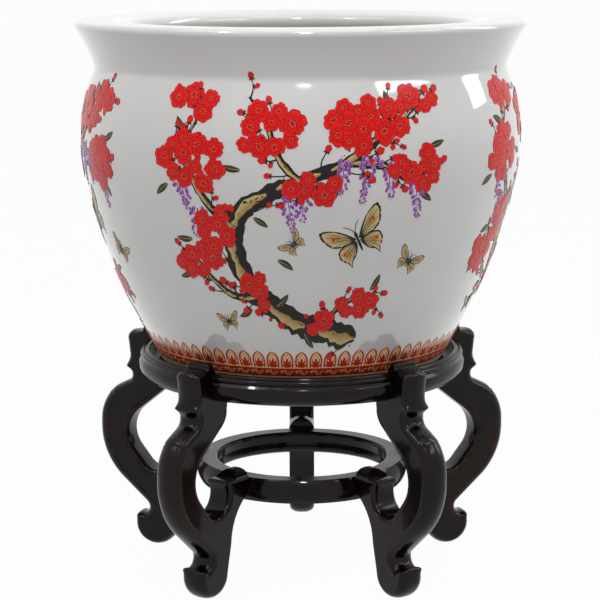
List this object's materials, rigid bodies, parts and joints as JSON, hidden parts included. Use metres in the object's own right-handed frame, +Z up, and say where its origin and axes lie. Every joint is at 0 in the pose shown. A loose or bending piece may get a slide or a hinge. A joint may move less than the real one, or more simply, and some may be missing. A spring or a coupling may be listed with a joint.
{
  "type": "jardiniere on stand",
  "caption": "Glazed porcelain fishbowl planter with a flared rim, resting in a round wooden stand with cabriole legs and a lower ring.",
  "frame": {"origin": "on the floor under the middle of the stand, where the bowl's axis meets it", "axes": "+Z up along the bowl's axis, -Y to the front between two legs, +Y to the back along a leg, +X to the right"},
  "size_m": [0.508, 0.508, 0.631],
  "materials": {
    "glazed_porcelain": "high gloss glaze",
    "lacquered_wood": "black-brown polished lacquer",
    "dowel_wood": "plain turned hardwood"
  },
  "bodies": {
    "stand": {"top_ring_segment_1": "lacquered_wood", "top_ring_segment_2": "lacquered_wood", "top_ring_segment_3": "lacquered_wood", "top_ring_segment_4": "lacquered_wood", "top_ring_segment_5": "lacquered_wood", "lower_ring_segment_1": "lacquered_wood", "lower_ring_segment_2": "lacquered_wood", "lower_ring_segment_3": "lacquered_wood", "lower_ring_segment_4": "lacquered_wood", "lower_ring_segment_5": "lacquered_wood", "leg_1": "lacquered_wood", "leg_2": "lacquered_wood", "leg_3": "lacquered_wood", "leg_4": "lacquered_wood", "leg_5": "lacquered_wood", "top_ring_dowel_1": "dowel_wood", "top_ring_dowel_2": "dowel_wood", "top_ring_dowel_3": "dowel_wood", "top_ring_dowel_4": "dowel_wood", "top_ring_dowel_5": "dowel_wood", "lower_ring_dowel_1": "dowel_wood", "lower_ring_dowel_2": "dowel_wood", "lower_ring_dowel_3": "dowel_wood", "lower_ring_dowel_4": "dowel_wood", "lower_ring_dowel_5": "dowel_wood"},
    "bowl": {"bowl": "glazed_porcelain"}
  },
  "joints": [
    {"name": "bowl_lift", "type": "slide", "parent": "stand", "child": "bowl", "axis": [0, 0, 1], "range_m": [0, 0.1]}
  ]
}
